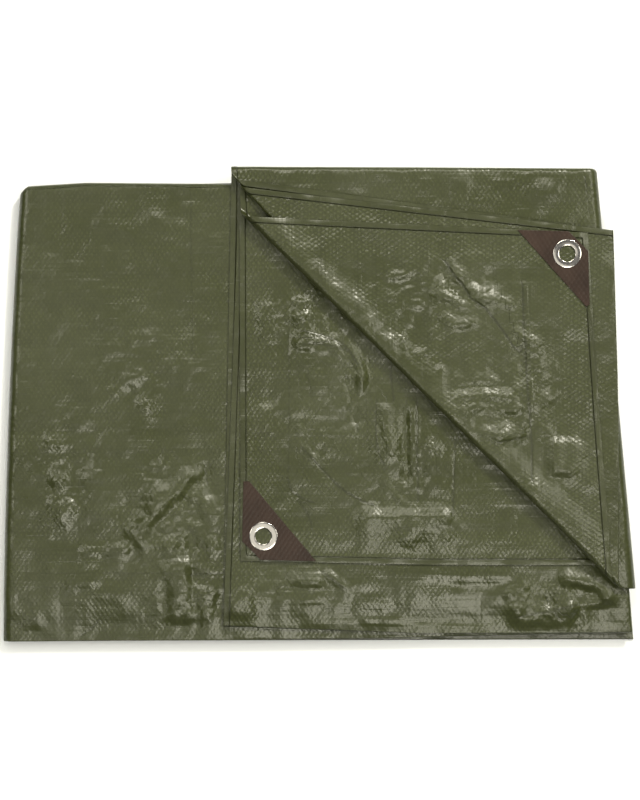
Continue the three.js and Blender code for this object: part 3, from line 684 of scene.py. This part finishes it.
def cut_along_flap(places, cells):
    """Cuts the cells of the turned plies along the flap's bend, so that it bends evenly."""
    flat = stack(places[:, 0], places[:, 1], np.zeros(len(places)))[0]
    mesh = bmesh.new()
    row_layer = mesh.verts.layers.float.new("across")
    column_layer = mesh.verts.layers.float.new("lengthwise")
    verts = [mesh.verts.new((x, y, 0)) for x, y, _ in flat]
    for vert, (row, column) in zip(verts, places):
        vert[row_layer], vert[column_layer] = row, column
    for cell in cells:
        mesh.faces.new([verts[k] for k in cell])
    for group, (low, high) in {TURNED_PLY: (0.0, 1.0), PAIR_PLY: (2.0, 5.0)}.items():
        start, normal = flap_frame(group)
        radius = FLAP_RADII[group]
        for step in range(FLAP_STEPS + 1):
            reach = math.pi * radius * step / FLAP_STEPS - radius
            point = start + normal * reach
            faces = [f for f in mesh.faces if all(
                low - 1e-4 <= v[row_layer] <= high + 1e-4 and v[column_layer] <= 1.0001 for v in f.verts)]
            near = [f for f in faces if min(abs((v.co.x - point[0]) * normal[0]
                    + (v.co.y - point[1]) * normal[1]) for v in f.verts) < 80]
            edges, corners = {e for f in near for e in f.edges}, {v for f in near for v in f.verts}
            bmesh.ops.bisect_plane(mesh, geom=near + list(edges) + list(corners), dist=1e-4,
                                   plane_co=(*point, 0), plane_no=(*normal, 0))
    mesh.verts.index_update()
    places = np.array([(v[row_layer], v[column_layer]) for v in mesh.verts])
    cells = [tuple(v.index for v in f.verts) for f in mesh.faces]
    rim = [tuple(v.index for v in (loop.vert, loop.link_loop_next.vert))
           for e in mesh.edges if e.is_boundary for loop in e.link_loops]
    mesh.free()
    return places, cells, rim


def hem_distance(places, flat):
    """Distance of points of the sheet from its nearest cut edge."""
    across, lengthwise = places[:, 0], places[:, 1]
    along = np.where(np.floor(lengthwise) % 2 == 0, lengthwise - np.floor(lengthwise) / 2,
                     np.ceil(lengthwise) / 2)
    distance = np.full(len(places), FAR)
    first, last = across <= 1, across >= 10
    distance[first] = flat[first, 1] - line_y("hem_one", along[first])
    distance[last] = flat[last, 1] - line_y("hem_two", along[last])
    on_top = lengthwise <= 1
    distance[on_top] = np.minimum(distance[on_top], flat[on_top, 0] - free_end_x(across[on_top]))
    return distance


def cloth_points(places, offset):
    flat, length_x, length_y = stack(places[:, 0], places[:, 1], offset)
    points = flat.copy()
    group = turned_ply(places[:, 0], places[:, 1])
    for ply in (TURNED_PLY, PAIR_PLY, TOP_PLY):
        at = group == ply
        points[at] = turn_back(ply, flat[at])
    return points, flat, length_x, length_y


def make_cloth():
    """The folded sheet, as one closed thin shell."""
    noise.seed_set(NOISE_SEED)
    places, cells, rim = cut_along_flap(*cloth_cells())
    middle, flat, length_x, length_y = cloth_points(places, np.zeros(len(places)))
    hem = hem_distance(places, flat)
    half = settings().sheet_thickness / MM / 2
    roll = np.sin(np.clip(hem / HEM_ROLL, 0, 1) * math.pi)
    thickness = half + CORD_SWELL * roll + HEM_SWELL * smooth((HEM_BAND - hem) / HEM_STEP)
    lift, marks = raise_panels(middle, flat, places[:, 0], places[:, 1])
    sides = []
    for face in (1, -1):
        points = cloth_points(places, face * thickness)[0]
        points[:, 2] += lift
        sides.append(points)
    count = len(places)
    polygons = [tuple(reversed(c)) for c in cells] + [tuple(k + count for k in c) for c in cells]
    polygons += [(a, b, b + count, a + count) for a, b in rim]
    mesh = bpy.data.meshes.new("tarp_cloth")
    mesh.from_pydata(np.concatenate(sides) * MM, [], polygons)
    lengths = np.tile(np.stack([length_x, length_y], 1) * MM, (2, 1)).astype(np.float32)
    corner_vertex = np.zeros(len(mesh.loops), int)
    mesh.loops.foreach_get("vertex_index", corner_vertex)
    mesh.uv_layers.new(name="cloth").data.foreach_set("uv", lengths[corner_vertex].ravel())
    for name, values in {"hem": hem * MM, **marks}.items():
        mesh.attributes.new(name, "FLOAT", "POINT").data.foreach_set("value", np.tile(values, 2))
    mesh.update()
    mesh.shade_smooth()
    mesh.set_sharp_from_angle(angle=math.radians(50))
    return link_mesh("tarp_cloth", mesh), float(np.ptp(length_x)) * MM, float(np.ptp(length_y)) * MM


MATH, MAP, MIX, NOISE = "ShaderNodeMath", "ShaderNodeMapRange", "ShaderNodeMix", "ShaderNodeTexNoise"
EASED = {"interpolation_type": "SMOOTHSTEP"}
NUMBERS, VECTORS, COLOURS = (
    {"out": k, "data_type": kind} for k, kind in enumerate(("FLOAT", "VECTOR", "RGBA")))


def laid_over(add, layers):
    """Lays reliefs over each other. Each layer is a height, its depth in metres and a strength."""
    inputs = {}
    for height, depth, strength in layers:
        inputs.update({"Height": height, "Distance": depth, "Strength": strength})
        inputs["Normal"] = add("ShaderNodeBump", inputs)
    return inputs["Normal"]


def shaded(colour, share):
    return tuple(c * share for c in colour[:3]) + (1.0,)


def tape_weave(add, coordinates, pitch):
    """Height of a plain weave of flat tapes, from -1 to 1, and a random value for each tape. The tapes
    along the strip are half as wide again as those across it. Real tapes of such a sheet are finer,
    and these are drawn as coarse as they need to be to show."""
    split = add("ShaderNodeSeparateXYZ", coordinates).node.outputs
    waves, counts = [], []
    for axis, width in (("X", pitch), ("Y", 1.5 * pitch)):
        turned = add(MATH, split[axis], math.pi / width, operation="MULTIPLY")
        waves.append(add(MATH, turned, operation="SINE"))
        counted = add(MATH, split[axis], width, operation="DIVIDE")
        counts.append(add(MATH, counted, operation="FLOOR"))
    label = add("ShaderNodeCombineXYZ", *counts)
    tone = add("ShaderNodeTexWhiteNoise", {"Vector": label}, noise_dimensions="2D")
    return add(MATH, *waves, operation="MULTIPLY"), tone


def new_material(name):
    """A material, its shader, and add_node for its tree."""
    material = bpy.data.materials.new(name)
    material.use_nodes = True
    tree = material.node_tree
    return material, tree.nodes["Principled BSDF"], partial(add_node, tree)


def laminated_tape_fabric():
    """Laminated woven polyethylene: flat extruded tapes in a plain weave, sealed under a thin film.
    The film gives the soft plastic gloss, breaks into flat facets where it was crumpled, and the
    tapes print through it as a fine grid, deepest in the doubled hems, with painted highlights on
    their crowns. Painted shade darkens the welded grooves and the valleys of thin creases."""
    material, shader, add = new_material("laminated woven polyethylene")
    cloth = add("ShaderNodeUVMap", uv_map="cloth")
    hem, crackle, score, score_depth = (
        add("ShaderNodeAttribute", out="Fac", attribute_name=name)
        for name in ("hem", "crackle", "score", "score_depth"))
    doubled = add(MAP, hem, (HEM_BAND + 3) * MM, (HEM_BAND - 3) * MM, **EASED)
    cord = add(MAP, hem, (HEM_ROLL + 0.6) * MM, (HEM_ROLL - 0.6) * MM, **EASED)
    off_groove = add(MATH, add(MATH, hem, HEM_ROLL * MM, operation="SUBTRACT"), operation="ABSOLUTE")
    by_score = add(MAP, add(MATH, score, operation="ABSOLUTE"), 2.0 * MM, 0.0, **EASED)
    crest = add(MATH, by_score, score_depth, operation="MULTIPLY")
    # painted shade in the valleys of thin creases
    valley_shade = add(MATH, add(MATH, crest, -0.7, operation="MULTIPLY"), 0.0, operation="MAXIMUM")
    # painted shade along the hem's welded groove
    seam_shade = add(MAP, off_groove, 1.3 * MM, 0.2 * MM, 0.0, 0.65, **EASED)
    painted_groove_shade = add(MATH, seam_shade, valley_shade, operation="MAXIMUM")

    # The weave shows unevenly through the film, and is fully pressed into the hems but not their cord.
    waviness = add(MATH, crackle, 1.4, 0.25, operation="MULTIPLY_ADD")
    broad = add(MATH, crackle, 1.0, 0.55, operation="MULTIPLY_ADD")
    pressed = add(MAP, add(NOISE, {"Vector": cloth, "Scale": 30.0}), 0.4, 0.62, 0.35, 0.8, **EASED)
    pressed = add(MATH, pressed, doubled, operation="MAXIMUM")
    depth = add(MATH, pressed, add(MATH, 1.0, cord, operation="SUBTRACT"), operation="MULTIPLY")
    uneven = add(NOISE, {"Vector": cloth, "Scale": 260.0, "Detail": 0.0}, out="Color")
    laid = add(MIX, {0: 0.0022, 4: cloth, 5: uneven}, **VECTORS)
    weave, tone = tape_weave(add, laid, settings().tape_pitch)

    # Colour: cloudy, a little different from tape to tape, streaked along the strip, with a painted
    # highlight paling the tapes' crowns, and painted shade in the welded grooves and the crease valleys.
    cloud = add(NOISE, {"Vector": cloth, "Scale": 9.0, "Detail": 7.0})
    streak, *ribs = (
        add(NOISE, {"Vector": add("ShaderNodeMapping", {"Vector": cloth, "Scale": scale}), "Scale": 1.0})
        for scale in ((3.0, 90.0, 1.0), (14.0, 260.0, 1.0), (260.0, 14.0, 1.0)))
    base = linear(settings().sheet_colour)
    tones = add(MIX, {0: 0.25, 2: cloud, 3: tone}, **NUMBERS)
    tones = add(MIX, {0: 0.4, 2: tones, 3: streak}, **NUMBERS)
    colour = add(MIX, {0: tones, 6: shaded(base, 0.6), 7: shaded(base, 1.4)}, **COLOURS)
    # painted highlight: the weave's crowns are mixed towards a paler copy of the sheet's colour
    crown = add(MATH, add(MAP, weave, 0.1, 1.0, 0.0, 0.6, **EASED), depth, operation="MULTIPLY")
    colour = add(MIX, {0: crown, 6: colour, 7: shaded(base, 1.8)}, **COLOURS)
    # painted shade: the grooves and crease valleys are mixed towards a dark copy of the sheet's colour
    colour = add(MIX, {0: painted_groove_shade, 6: colour, 7: shaded(base, 0.3)}, **COLOURS)

    # Relief: flat facets and ridged wrinkles where the film was crumpled.
    wander = add(NOISE, {"Vector": cloth, "Scale": 40.0, "Detail": 1.0}, out="Color")
    bent = add(MIX, {0: 0.012, 4: cloth, 5: wander}, **VECTORS)
    facets = add("ShaderNodeTexVoronoi", {"Vector": bent, "Scale": 24.0}, out="Distance",
                 feature="DISTANCE_TO_EDGE")
    wrinkles = add(NOISE, {"Vector": cloth, "Scale": 70.0}, noise_type="RIDGED_MULTIFRACTAL")
    patches = add(MAP, add(NOISE, {"Vector": cloth, "Scale": 24.0}), 0.42, 0.56, **EASED)
    patchy = add(MATH, crackle, patches, operation="MULTIPLY")
    swells = [add(NOISE, {"Vector": cloth, "Scale": scale, "Detail": detail})
              for scale, detail in ((14.0, 2.0), (40.0, 1.0), (90.0, 1.0))]
    set_inputs(shader, {
        "Base Color": colour,
        "Roughness": add(MAP, cloud, 0.3, 0.7, 0.27, 0.36, **EASED),
        "IOR": 1.5,
        "Normal": laid_over(add, (
            (swells[0], 0.012, broad), (swells[1], 0.005, broad), (swells[2], 0.002, waviness),
            (facets, 0.004, crackle), (wrinkles, 0.0007, patchy), (ribs[0], 0.0003, 1.0),
            (ribs[1], 0.0002, 1.0), (crest, 0.00025, 1.0), (cord, 0.0008, 1.0), (weave, 0.00008, depth))),
    })
    return material


def moulded_film():
    """Moulded polyethylene film, welded on: dark and satin, with the tapes printing through it."""
    material, shader, add = new_material("moulded polyethylene film")
    place = add("ShaderNodeTexCoord", out="Object")
    weave, _ = tape_weave(add, place, settings().tape_pitch)
    cloud = add(NOISE, {"Vector": place, "Scale": 45.0, "Detail": 4.0})
    base = linear(settings().patch_colour)
    set_inputs(shader, {
        # cloudy tone, paler and darker at random; the pale side of the range is partly painted sheen
        "Base Color": add(MIX, {0: cloud, 6: shaded(base, 0.5), 7: shaded(base, 2.2)}, **COLOURS),
        "Roughness": add(MAP, cloud, 0.0, 1.0, 0.3, 0.42),
        "Specular IOR Level": 0.3,
        "Normal": laid_over(add, ((cloud, 0.0008, 0.3), (weave, 0.0003, 0.25))),
    })
    return material


def rolled_aluminium():
    """Bright rolled aluminium: near white, smooth, with faint marks of the setting tool."""
    material, shader, add = new_material("bright rolled aluminium")
    place = add("ShaderNodeTexCoord", out="Object")
    marks = add(NOISE, {"Vector": place, "Scale": 600.0, "Detail": 3.0})
    set_inputs(shader, {
        "Base Color": linear(settings().eyelet_colour),
        "Metallic": 1.0,
        "Roughness": add(MAP, marks, 0.0, 1.0, 0.12, 0.2),
    })
    return material


def pale_floor():
    """Matt paint on a studio floor: pale and without gloss."""
    material, shader, _ = new_material("pale matt floor")
    set_inputs(shader, {"Base Color": linear("#F6F9FF"), "Roughness": 0.9})
    return material


def link_mesh(name, mesh):
    made = bpy.data.objects.new(name, mesh)
    bpy.context.collection.objects.link(made)
    return made


PATCH = {"hole": 8.2 * MM, "hole steps": 48, "seat": 0.05 * MM, "wall": 0.6 * MM, "edge": 0.22 * MM}
EYELET = {"Hole Radius": 7.1 * MM, "Rim Radius": 12.2 * MM, "Crown": 1.9 * MM, "Back Radius": 11.2 * MM}
EYELET_WALL, BACK_WALL, BACK_SEAT = 0.7 * MM, 0.5 * MM, 0.35 * MM  # barrel, back flange and its height


def make_patch(corner):
    """A corner patch: its outline with a hole, filled with small faces and given a thin wall."""
    outline = [Vector(p) * MM for p in CORNERS[corner]["outline"]]
    centre = Vector(CORNERS[corner]["eyelet"]) * MM
    steps = PATCH["hole steps"]
    ring = [centre + PATCH["hole"] * Vector((math.cos(a), math.sin(a)))
            for a in (2 * math.pi * k / steps for k in range(steps))]
    edges = [(k, (k + 1) % len(outline)) for k in range(len(outline))]
    edges += [(len(outline) + k, len(outline) + (k + 1) % steps) for k in range(steps)]
    verts, _, faces, _, _, _ = geometry.delaunay_2d_cdt(outline + ring, edges, [], 1, 1e-7)
    kept = [f for f in faces
            if (sum((verts[k] for k in f), Vector((0, 0))) / len(f) - centre).length > PATCH["hole"]]
    if not kept:
        raise RuntimeError(f"the outline of the {corner} patch made no faces")
    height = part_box(f"{corner}_patch")[0].z + PATCH["seat"]
    mesh = bpy.data.meshes.new(f"{corner}_patch_film")
    mesh.from_pydata([(*v, height) for v in verts], [], kept)
    film = link_mesh(f"{corner}_patch_film", mesh)
    wall = film.modifiers.new("wall", "SOLIDIFY")
    wall.thickness, wall.offset = PATCH["wall"], 1.0
    edge = film.modifiers.new("edge", "BEVEL")
    edge.width, edge.segments = PATCH["edge"], 2
    return film


def eyelet_tree():
    """Geometry nodes for a rolled eyelet: a domed rim, a barrel and a back flange, each swept round."""
    tree = bpy.data.node_groups.new("rolled eyelet", "GeometryNodeTree")
    tree.interface.new_socket("Geometry", in_out="OUTPUT", socket_type="NodeSocketGeometry")
    for name in (*EYELET, "Rim Height", "Back Height"):
        tree.interface.new_socket(name, in_out="INPUT", socket_type="NodeSocketFloat")
    tree.interface.new_socket("Material", in_out="INPUT", socket_type="NodeSocketMaterial")
    add = partial(add_node, tree)
    given = add("NodeGroupInput").node.outputs
    hole, rim, crown, back, rim_height, back_height = (
        given[name] for name in (*EYELET, "Rim Height", "Back Height"))

    def halfway(a, b):
        return add(MATH, add(MATH, a, b, operation="ADD"), 0.5, operation="MULTIPLY")

    def swept(path_radius, profile, height):
        path = add("GeometryNodeCurvePrimitiveCircle", {"Resolution": 96, "Radius": path_radius})
        tube = add("GeometryNodeCurveToMesh", {"Curve": path, "Profile Curve": profile})
        lift = add("ShaderNodeCombineXYZ", {"Z": height})
        return add("GeometryNodeTransform", {"Geometry": tube, "Translation": lift})

    # The rim's profile is a circle, made as wide as the rim, domed with fine rings above and flat below.
    circle = add("GeometryNodeCurvePrimitiveCircle", {"Resolution": 28, "Radius": 1.0})
    spot = add("ShaderNodeSeparateXYZ", add("GeometryNodeInputPosition")).node.outputs
    half_width = add(MATH, add(MATH, rim, hole, operation="SUBTRACT"), 0.5, operation="MULTIPLY")
    wave = add(MATH, add(MATH, spot["X"], 6.0, operation="MULTIPLY"), operation="COSINE")
    rings = add(MATH, wave, 0.2, 0.8, operation="MULTIPLY_ADD")
    above = add(MATH, add(MATH, spot["Y"], 0.0, operation="MAXIMUM"), crown, operation="MULTIPLY")
    domed = add(MATH, above, rings, operation="MULTIPLY")
    below = add(MATH, add(MATH, spot["Y"], 0.0, operation="MINIMUM"), 0.3 * MM, operation="MULTIPLY")
    bent = add("ShaderNodeCombineXYZ", add(MATH, spot["X"], half_width, operation="MULTIPLY"),
               add(MATH, domed, below, operation="ADD"))
    dome = add("GeometryNodeSetPosition", {"Geometry": circle, "Position": bent})
    barrel = add("GeometryNodeCurvePrimitiveQuadrilateral", {
        "Width": EYELET_WALL, "Height": add(MATH, rim_height, back_height, operation="SUBTRACT")})
    flange = add("GeometryNodeCurvePrimitiveQuadrilateral", {
        "Width": add(MATH, back, hole, operation="SUBTRACT"), "Height": BACK_WALL})
    parts = add("GeometryNodeJoinGeometry").node
    for part in (swept(halfway(back, hole), flange, back_height),
                 swept(add(MATH, hole, 0.5 * MM, operation="ADD"), barrel, halfway(rim_height, back_height)),
                 swept(halfway(hole, rim), dome, rim_height)):
        tree.links.new(part, parts.inputs[0])
    rounded = add("GeometryNodeSetShadeSmooth", {"Geometry": parts.outputs[0]})
    real = add("GeometryNodeRealizeInstances", {"Geometry": rounded})
    add("NodeGroupOutput", add("GeometryNodeSetMaterial", {"Geometry": real, "Material": given["Material"]}))
    return tree


def make_eyelet(corner, tree, material):
    """One eyelet from the node tree, as a plain mesh in its place."""
    low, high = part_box(f"{corner}_eyelet")
    sizes = {**EYELET, "Rim Height": high.z - EYELET["Crown"], "Back Height": low.z + BACK_SEAT,
             "Material": material}
    builder = link_mesh("eyelet_builder", bpy.data.meshes.new("eyelet_builder"))
    modifier = builder.modifiers.new("eyelet", "NODES")
    modifier.node_group = tree
    for item in tree.interface.items_tree:
        if item.in_out == "INPUT":
            modifier[item.identifier] = sizes[item.name]
    evaluated = builder.evaluated_get(bpy.context.evaluated_depsgraph_get())
    mesh = bpy.data.meshes.new_from_object(evaluated)
    bpy.data.objects.remove(builder)
    if not mesh.polygons:
        raise RuntimeError(f"the node tree of the {corner} eyelet made no faces")
    x, y = CORNERS[corner]["eyelet"]
    for vert in mesh.vertices:
        vert.co.x += x * MM
        vert.co.y += y * MM
    mesh.shade_smooth()
    mesh.set_sharp_from_angle(angle=math.radians(40))
    return link_mesh(f"{corner}_eyelet_ring", mesh)


class TARP_OT_cloth(bpy.types.Operator):
    """Makes the folded sheet"""

    bl_idname = "tarp.cloth"
    bl_label = "Folded sheet"

    def execute(self, context):
        cloth, length, width = make_cloth()
        cloth.data.materials.append(laminated_tape_fabric())
        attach(cloth, "root")
        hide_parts("tarp_sheet")
        return {"FINISHED"}


class TARP_OT_patches(bpy.types.Operator):
    """Makes the two moulded corner patches"""

    bl_idname = "tarp.patches"
    bl_label = "Corner patches"

    def execute(self, context):
        film = moulded_film()
        for corner in CORNERS:
            patch = make_patch(corner)
            patch.data.materials.append(film)
            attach(patch, "root")
            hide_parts(f"{corner}_patch")
        return {"FINISHED"}


class TARP_OT_eyelets(bpy.types.Operator):
    """Makes the two rolled eyelets"""

    bl_idname = "tarp.eyelets"
    bl_label = "Eyelets"

    def execute(self, context):
        tree, metal = eyelet_tree(), rolled_aluminium()
        for corner in CORNERS:
            ring = make_eyelet(corner, tree, metal)
            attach(ring, "root")
            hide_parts(f"{corner}_eyelet")
        return {"FINISHED"}


# Soft round lights that face the middle: place, size and power in watts.
LIGHTS = {
    "overhead": ((-0.35, -0.5, 3.4), 1.9, 7),
    "key": ((1.1, 1.85, 1.85), 0.5, 66),
    "window": ((-0.3, 1.6, 2.4), 1.0, 24),
    "left": ((-1.5, 0.5, 2.3), 0.9, 13),
    "right": ((1.55, 0.35, 2.3), 0.95, 16),
    "low": ((0.4, -1.05, 2.3), 0.9, 19),
    "edge": ((-1.05, -1.05, 2.1), 0.5, 4),
}
LIGHT_COLOUR = "#FFFBEA"
REFERENCE_HEIGHT = 0.010  # height at which the camera's scale is set
FRAME_WIDTH, FRAME_HEIGHT = 640, 800
PIXEL = 0.87 * MM  # size of a pixel of the photograph's frame at that height
CENTRE_PIXEL = (319.0, 404.5)  # where the part's origin lies in that frame
SENSOR = 36.0
FLOOR_REACH = 6.0
WORLD_COLOUR, WORLD_STRENGTH = "#F6F5F2", 0.12


class TARP_OT_stage(bpy.types.Operator):
    """Makes the floor, the lights and the camera"""

    bl_idname = "tarp.stage"
    bl_label = "Stage"

    def execute(self, context):
        scene = context.scene
        scene.view_settings.view_transform = "Standard"
        floor_mesh = bpy.data.meshes.new("floor")
        floor_mesh.from_pydata(
            [(x * FLOOR_REACH, y * FLOOR_REACH, 0) for x, y in ((-1, -1), (1, -1), (1, 1), (-1, 1))],
            [], [(0, 1, 2, 3)])
        floor_mesh.materials.append(pale_floor())
        link_mesh("floor", floor_mesh)
        world = bpy.data.worlds.new("studio")
        world.use_nodes = True
        set_inputs(world.node_tree.nodes["Background"], {
            "Color": linear(WORLD_COLOUR), "Strength": WORLD_STRENGTH})
        scene.world = world
        for name, (place, size, watts) in LIGHTS.items():
            lamp = bpy.data.lights.new(name, "AREA")
            lamp.shape, lamp.size, lamp.energy = "DISK", size, watts
            lamp.color = linear(LIGHT_COLOUR)[:3]
            holder = bpy.data.objects.new(name, lamp)
            holder.location = place
            holder.rotation_euler = (-Vector(place)).to_track_quat("-Z", "Y").to_euler()
            context.collection.objects.link(holder)
        camera = bpy.data.objects.new("camera", bpy.data.cameras.new("camera"))
        x = (FRAME_WIDTH / 2 - CENTRE_PIXEL[0]) * PIXEL
        y = (CENTRE_PIXEL[1] - FRAME_HEIGHT / 2) * PIXEL
        camera.location = (x, y, settings().camera_height)
        camera.data.sensor_width = SENSOR
        distance = settings().camera_height - REFERENCE_HEIGHT
        camera.data.lens = SENSOR * distance / (FRAME_HEIGHT * PIXEL)
        context.collection.objects.link(camera)
        scene.camera = camera
        return {"FINISHED"}


class TARP_PT_panel(bpy.types.Panel):
    """Lists the sizes, the colours and the pieces"""

    bl_idname = "TARP_PT_panel"
    bl_label = "Folded tarpaulin"
    bl_space_type = "VIEW_3D"
    bl_region_type = "UI"
    bl_category = "Tarpaulin"

    def draw(self, context):
        for name in TarpSettings.__annotations__:
            self.layout.prop(context.scene.tarp, name)
        for piece in PIECES:
            self.layout.operator(piece.bl_idname)


PIECES = (TARP_OT_stage, TARP_OT_cloth, TARP_OT_patches, TARP_OT_eyelets)
CLASSES = (TarpSettings, *PIECES, TARP_PT_panel)


def register():
    for cls in CLASSES:
        bpy.utils.register_class(cls)
    bpy.types.Scene.tarp = PointerProperty(type=TarpSettings)


def unregister():
    del bpy.types.Scene.tarp
    for cls in reversed(CLASSES):
        bpy.utils.unregister_class(cls)


def main():
    register()
    bpy.ops.tarp.stage()
    bpy.ops.tarp.cloth()
    bpy.ops.tarp.patches()
    bpy.ops.tarp.eyelets()


if __name__ == "__main__":
    main()
